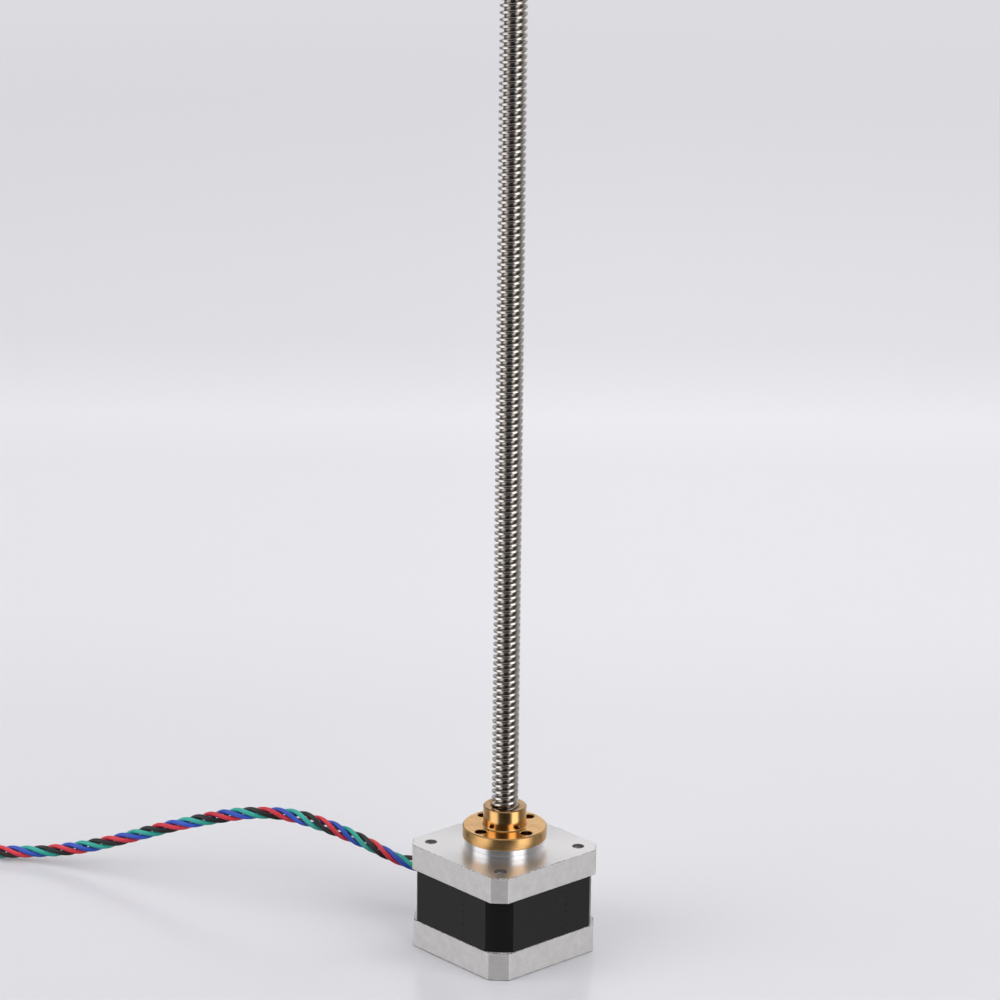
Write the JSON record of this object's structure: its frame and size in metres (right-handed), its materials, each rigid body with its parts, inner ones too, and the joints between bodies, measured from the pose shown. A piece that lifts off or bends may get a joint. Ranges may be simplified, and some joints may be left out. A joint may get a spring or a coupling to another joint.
{
  "type": "stepper motor with lead screw",
  "caption": "Square hybrid stepper motor whose shaft is a long trapezoidal lead screw; a flanged brass nut climbs it as it turns. A twisted lead cable with a connector leaves one side.",
  "frame": {"origin": "middle of the motor's flat rear face, on the screw's axis", "axes": "+Z along the lead screw, out of the motor's front face; +X and +Y through the motor's flat sides; the cable leaves the -X side"},
  "size_m": [0.2338, 0.1533, 0.3324],
  "materials": {
    "cast_aluminium": "satin",
    "black_lamination": "satin",
    "screw_steel": "polished",
    "nut_brass": "polished",
    "core_steel": "satin",
    "magnet_grey": "satin",
    "spacer_steel": "satin",
    "bearing_steel": "polished",
    "cage_steel": "satin",
    "white_nylon": "matte",
    "enamelled_copper": "glossy",
    "board_green": "satin",
    "tinned_metal": "satin",
    "fastener_steel": "satin",
    "black_rubber": "matte",
    "lead_red": "satin",
    "lead_blue": "satin",
    "lead_green": "satin",
    "lead_black": "satin",
    "tie_black": "matte",
    "connector_white": "matte"
  },
  "bodies": {
    "motor": {"cable_coil": "lead_blue", "cable_connector": "connector_white", "cable_grommet": "black_rubber", "cable_run": "lead_red", "cable_tail": "lead_green", "cable_tie": "tie_black", "connector_contacts": "tinned_metal", "front_bearing_outer_ring": "bearing_steel", "front_bearing_shields": "cage_steel", "front_cap": "cast_aluminium", "housing_screws": "fastener_steel", "insulator_front": "white_nylon", "insulator_rear": "white_nylon", "lead_ends": "lead_black", "rear_bearing_outer_ring": "bearing_steel", "rear_bearing_shields": "cage_steel", "rear_cap": "cast_aluminium", "stator_core": "black_lamination", "terminal_board": "board_green", "terminal_pins": "tinned_metal", "wave_spring": "spacer_steel", "winding_1": "enamelled_copper", "winding_2": "enamelled_copper", "winding_3": "enamelled_copper", "winding_4": "enamelled_copper", "winding_5": "enamelled_copper", "winding_6": "enamelled_copper", "winding_7": "enamelled_copper", "winding_8": "enamelled_copper"},
    "rotor": {"lead_screw": "screw_steel", "rotor_core_front": "core_steel", "rotor_core_rear": "core_steel", "rotor_magnet": "magnet_grey", "rotor_spacer_front": "spacer_steel", "rotor_shim_rear": "spacer_steel", "front_bearing_inner_ring": "bearing_steel", "rear_bearing_inner_ring": "bearing_steel"},
    "nut": {"lead_nut": "nut_brass"},
    "front_balls": {"front_bearing_balls": "bearing_steel", "front_bearing_cage": "cage_steel"},
    "rear_balls": {"rear_bearing_balls": "bearing_steel", "rear_bearing_cage": "cage_steel"}
  },
  "joints": [
    {"name": "rotor_spin", "type": "hinge", "parent": "motor", "child": "rotor", "pos_m": [0, 0, 0], "axis": [0, 0, -1], "range_deg": [0, 25200]},
    {"name": "nut_travel", "type": "slide", "parent": "motor", "child": "nut", "axis": [0, 0, 1], "range_m": [0, 0.28]},
    {"name": "front_cage_turn", "type": "hinge", "parent": "motor", "child": "front_balls", "pos_m": [0, 0, 0], "axis": [0, 0, -1], "range_deg": [0, 9000]},
    {"name": "rear_cage_turn", "type": "hinge", "parent": "motor", "child": "rear_balls", "pos_m": [0, 0, 0], "axis": [0, 0, -1], "range_deg": [0, 9000]}
  ],
  "couplings": [
    {"joint": "nut_travel", "follows": "rotor_spin", "m_per_rad": 0.00063662},
    {"joint": "front_cage_turn", "follows": "rotor_spin", "ratio": 0.35714},
    {"joint": "rear_cage_turn", "follows": "rotor_spin", "ratio": 0.35714}
  ]
}
